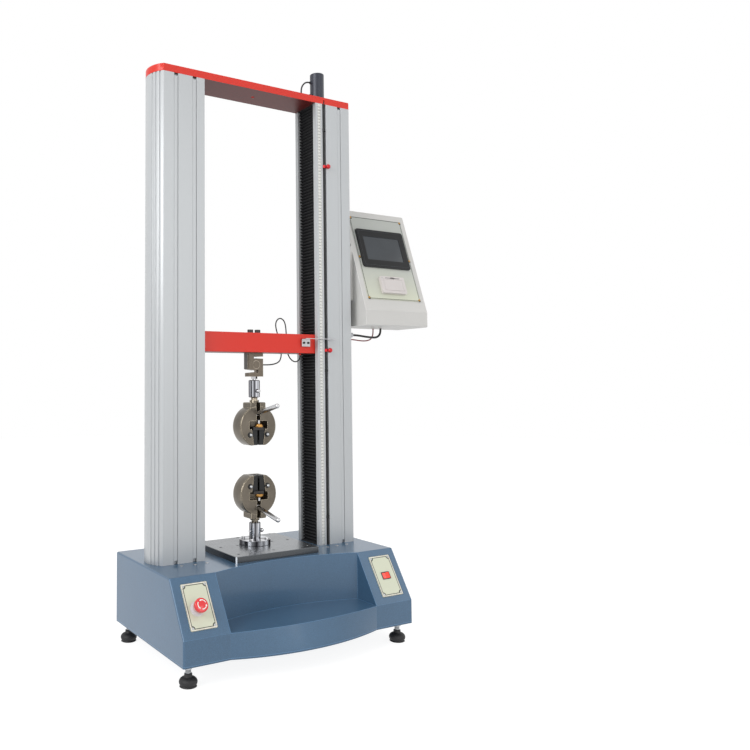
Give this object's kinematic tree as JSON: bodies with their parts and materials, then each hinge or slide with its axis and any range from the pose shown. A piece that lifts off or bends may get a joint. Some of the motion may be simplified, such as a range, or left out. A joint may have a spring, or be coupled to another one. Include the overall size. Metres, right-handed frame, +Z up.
{
  "type": "universal testing machine",
  "caption": "Bench-top twin-column universal testing machine with a moving crosshead, lever-operated wedge grips, bellows covers and a side control box.",
  "frame": {"origin": "on the load axis at the table plate's top face", "axes": "+X to the operator's right, +Y to the back, +Z up along the load axis"},
  "size_m": [1.002, 0.513, 1.787],
  "materials": {
    "base_paint": "blue-grey hammer paint, semi-gloss",
    "bed_steel": "dark primer on hot-rolled steel",
    "ground_steel": "ground and blued",
    "column_aluminium": "satin anodised extrusion",
    "red_paint": "gloss red paint",
    "hard_chrome": "bright chrome on steel",
    "bearing_iron": "machined iron",
    "screw_steel": "turned steel",
    "motor_paint": "black paint",
    "black_rubber": "matte black",
    "drive_aluminium": "grey casting with fins",
    "nut_brass": "turned bronze",
    "bright_steel": "zinc-plated or polished steel",
    "cell_steel": "brownish nickel-plated alloy steel",
    "grip_steel": "dark nickel plate",
    "jaw_steel": "black oxide, toothed",
    "copper_plate": "copper-coloured plate",
    "black_rod": "black oxide",
    "stop_red": "red anodised",
    "ruler_steel": "satin steel with black graduations",
    "bellows_fabric": "black coated fabric, pleated",
    "black_metal": "black paint",
    "encoder_grey": "dark grey enamel",
    "box_paint": "light grey powder coat",
    "faceplate_grey": "silver-grey printed film",
    "black_plastic": "moulded black",
    "printer_grey": "moulded light pinkish grey",
    "screen_glass": "dark glossy screen",
    "red_rubber": "dark red insulation",
    "stop_red_plastic": "gloss red",
    "lamp_red": "translucent red",
    "foot_rubber": "black rubber on zinc-plated studs"
  },
  "bodies": {
    "frame": {"base_shell": "base_paint", "bed_frame": "bed_steel", "table_plate": "ground_steel", "left_column": "column_aluminium", "right_column": "column_aluminium", "top_plate": "red_paint", "guide_rods": "hard_chrome", "screw_bearings": "bearing_iron", "motor": "motor_paint", "drive_belt": "black_rubber", "drive_unit": "drive_aluminium", "lower_adaptor": "hard_chrome", "table_flange": "hard_chrome", "lower_grip_body": "grip_steel", "ruler": "ruler_steel", "bellows_plates": "black_metal", "encoder_housing": "encoder_grey", "encoder_cable": "black_rubber", "box_bracket": "box_paint", "box_shell": "box_paint", "box_faceplate": "faceplate_grey", "screen_bezel": "black_plastic", "screen": "screen_glass", "printer_housing": "printer_grey", "box_cable": "black_rubber", "box_wire": "red_rubber", "console_panels": "faceplate_grey", "switch_collars": "black_plastic", "power_inlet": "black_plastic", "levelling_feet": "foot_rubber", "case_screws": "bright_steel"},
    "crosshead": {"crosshead_beam": "red_paint", "nuts_and_bushes": "nut_brass", "striker": "bright_steel", "load_cell": "cell_steel", "crosshead_fasteners": "bright_steel", "upper_adaptor": "hard_chrome", "upper_grip_body": "grip_steel", "load_cell_cable": "black_rubber", "lower_bellows": "bellows_fabric", "upper_bellows": "bellows_fabric"},
    "left_screw": {"left_screw": "screw_steel"},
    "right_screw": {"right_screw": "screw_steel"},
    "motor_pulley": {"motor_pulley": "screw_steel"},
    "limit_rod": {"limit_rod": "black_rod"},
    "upper_stop": {"upper_stop": "stop_red"},
    "lower_stop": {"lower_stop": "stop_red"},
    "stop_head": {"stop_head": "stop_red_plastic"},
    "rocker": {"rocker": "lamp_red"},
    "printer_door": {"printer_door": "printer_grey"},
    "upper_cross_pin": {"upper_cross_pin": "bright_steel"},
    "lower_cross_pin": {"lower_cross_pin": "bright_steel"},
    "upper_lever": {"upper_lever": "bright_steel"},
    "upper_yoke": {"upper_yoke": "copper_plate"},
    "upper_left_jaw": {"upper_left_jaw": "jaw_steel"},
    "upper_right_jaw": {"upper_right_jaw": "jaw_steel"},
    "lower_lever": {"lower_lever": "bright_steel"},
    "lower_yoke": {"lower_yoke": "copper_plate"},
    "lower_left_jaw": {"lower_left_jaw": "jaw_steel"},
    "lower_right_jaw": {"lower_right_jaw": "jaw_steel"}
  },
  "joints": [
    {"name": "crosshead_slide", "type": "slide", "parent": "frame", "child": "crosshead", "axis": [0, 0, 1], "range_m": [-0.023, 0.54], "deforming": ["lower_bellows", "upper_bellows"]},
    {"name": "left_screw_turn", "type": "hinge", "parent": "frame", "child": "left_screw", "pos_m": [-0.248, 0, 0], "axis": [0, 0, 1], "range_deg": [-840, 19500]},
    {"name": "right_screw_turn", "type": "hinge", "parent": "frame", "child": "right_screw", "pos_m": [0.248, 0, 0], "axis": [0, 0, 1], "range_deg": [-840, 19500]},
    {"name": "motor_pulley_turn", "type": "hinge", "parent": "frame", "child": "motor_pulley", "pos_m": [0, 0.11, -0.1], "axis": [0, 0, 1], "range_deg": [-1350, 31200]},
    {"name": "limit_rod_slide", "type": "slide", "parent": "frame", "child": "limit_rod", "axis": [0, 0, 1], "range_m": [-0.003, 0.003]},
    {"name": "upper_stop_slide", "type": "slide", "parent": "limit_rod", "child": "upper_stop", "axis": [0, 0, 1], "range_m": [0, 0.1]},
    {"name": "lower_stop_slide", "type": "slide", "parent": "limit_rod", "child": "lower_stop", "axis": [0, 0, 1], "range_m": [-0.045, 0]},
    {"name": "stop_press", "type": "slide", "parent": "frame", "child": "stop_head", "axis": [0, -0.8424, 0.5389], "range_m": [-0.005, 0], "stiffness_N_per_m": 400},
    {"name": "rocker_tilt", "type": "hinge", "parent": "frame", "child": "rocker", "pos_m": [0.311, -0.23566, -0.08654], "axis": [0, 0.5389, 0.8424], "range_deg": [0, 16]},
    {"name": "printer_door_hinge", "type": "hinge", "parent": "frame", "child": "printer_door", "pos_m": [0.497, -0.08479, 0.79491], "axis": [1, 0, 0], "range_deg": [0, 85]},
    {"name": "upper_pin_slide", "type": "slide", "parent": "crosshead", "child": "upper_cross_pin", "axis": [0, -1, 0], "range_m": [0, 0.05]},
    {"name": "lower_pin_slide", "type": "slide", "parent": "frame", "child": "lower_cross_pin", "axis": [1, 0, 0], "range_m": [0, 0.05]},
    {"name": "upper_lever_turn", "type": "hinge", "parent": "crosshead", "child": "upper_lever", "pos_m": [0, -0.012, 0.394], "axis": [1, 0, 0], "range_deg": [-17.5, 10]},
    {"name": "upper_yoke_slide", "type": "slide", "parent": "crosshead", "child": "upper_yoke", "axis": [0, 0, 1], "range_m": [-0.0041, 0.0071]},
    {"name": "upper_left_jaw_slide", "type": "slide", "parent": "crosshead", "child": "upper_left_jaw", "axis": [-0.1392, 0, 0.9903], "range_m": [-0.0042, 0.0072]},
    {"name": "upper_right_jaw_slide", "type": "slide", "parent": "crosshead", "child": "upper_right_jaw", "axis": [0.1392, 0, 0.9903], "range_m": [-0.0042, 0.0072]},
    {"name": "lower_lever_turn", "type": "hinge", "parent": "frame", "child": "lower_lever", "pos_m": [0, -0.012, 0.113], "axis": [-1, 0, 0], "range_deg": [-17.5, 10]},
    {"name": "lower_yoke_slide", "type": "slide", "parent": "frame", "child": "lower_yoke", "axis": [0, 0, -1], "range_m": [-0.0041, 0.0071]},
    {"name": "lower_left_jaw_slide", "type": "slide", "parent": "frame", "child": "lower_left_jaw", "axis": [-0.1392, 0, -0.9903], "range_m": [-0.0042, 0.0072]},
    {"name": "lower_right_jaw_slide", "type": "slide", "parent": "frame", "child": "lower_right_jaw", "axis": [0.1392, 0, -0.9903], "range_m": [-0.0042, 0.0072]}
  ],
  "couplings": [
    {"joint": "left_screw_turn", "follows": "crosshead_slide", "rad_per_m": 628.32},
    {"joint": "right_screw_turn", "follows": "crosshead_slide", "rad_per_m": 628.32},
    {"joint": "motor_pulley_turn", "follows": "crosshead_slide", "rad_per_m": 1005.3},
    {"joint": "upper_yoke_slide", "follows": "upper_lever_turn", "m_per_rad": -0.0229},
    {"joint": "upper_left_jaw_slide", "follows": "upper_lever_turn", "m_per_rad": -0.023125},
    {"joint": "upper_right_jaw_slide", "follows": "upper_lever_turn", "m_per_rad": -0.023125},
    {"joint": "lower_yoke_slide", "follows": "lower_lever_turn", "m_per_rad": -0.0229},
    {"joint": "lower_left_jaw_slide", "follows": "lower_lever_turn", "m_per_rad": -0.023125},
    {"joint": "lower_right_jaw_slide", "follows": "lower_lever_turn", "m_per_rad": -0.023125}
  ]
}
